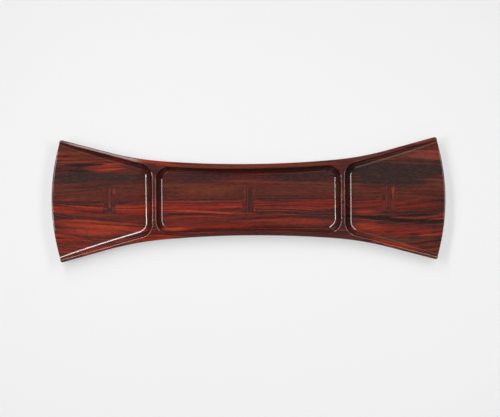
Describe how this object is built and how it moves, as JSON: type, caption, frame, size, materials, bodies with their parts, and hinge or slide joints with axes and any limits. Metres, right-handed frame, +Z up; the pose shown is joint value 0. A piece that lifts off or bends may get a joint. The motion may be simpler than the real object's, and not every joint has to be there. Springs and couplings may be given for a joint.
{
  "type": "serving tray",
  "caption": "Bow-tie wooden serving tray, waisted in the middle, with a closed coved middle compartment, scooped open-ended side compartments and butterfly keys in the floors.",
  "frame": {"origin": "centre of the flat base, on the surface the tray stands on", "axes": "+X along the tray, +Y to the back (up in a view from above), +Z up"},
  "size_m": [0.62, 0.1918, 0.028],
  "materials": {
    "dark_rosewood": "hand-rubbed oil and wax, high gloss",
    "red_rosewood": "hand-rubbed oil and wax, high gloss",
    "brown_rosewood": "hand-rubbed oil and wax, high gloss",
    "core_ply": "hand-rubbed oil and wax, high gloss",
    "line_ply": "hand-rubbed oil and wax, high gloss",
    "side_ply": "hand-rubbed oil and wax, high gloss"
  },
  "bodies": {
    "root": {"centre_board_back": "dark_rosewood", "centre_board_front": "red_rosewood", "corner_board_left_back": "brown_rosewood", "corner_board_left_front": "brown_rosewood", "corner_board_right_back": "brown_rosewood", "corner_board_right_front": "brown_rosewood", "left_key_side_ply_left": "side_ply", "left_key_line_ply_left": "line_ply", "left_key_core_ply": "core_ply", "left_key_line_ply_right": "line_ply", "left_key_side_ply_right": "side_ply", "centre_key_side_ply_left": "side_ply", "centre_key_line_ply_left": "line_ply", "centre_key_core_ply": "core_ply", "centre_key_line_ply_right": "line_ply", "centre_key_side_ply_right": "side_ply", "right_key_side_ply_left": "side_ply", "right_key_line_ply_left": "line_ply", "right_key_core_ply": "core_ply", "right_key_line_ply_right": "line_ply", "right_key_side_ply_right": "side_ply"}
  },
  "joints": []
}
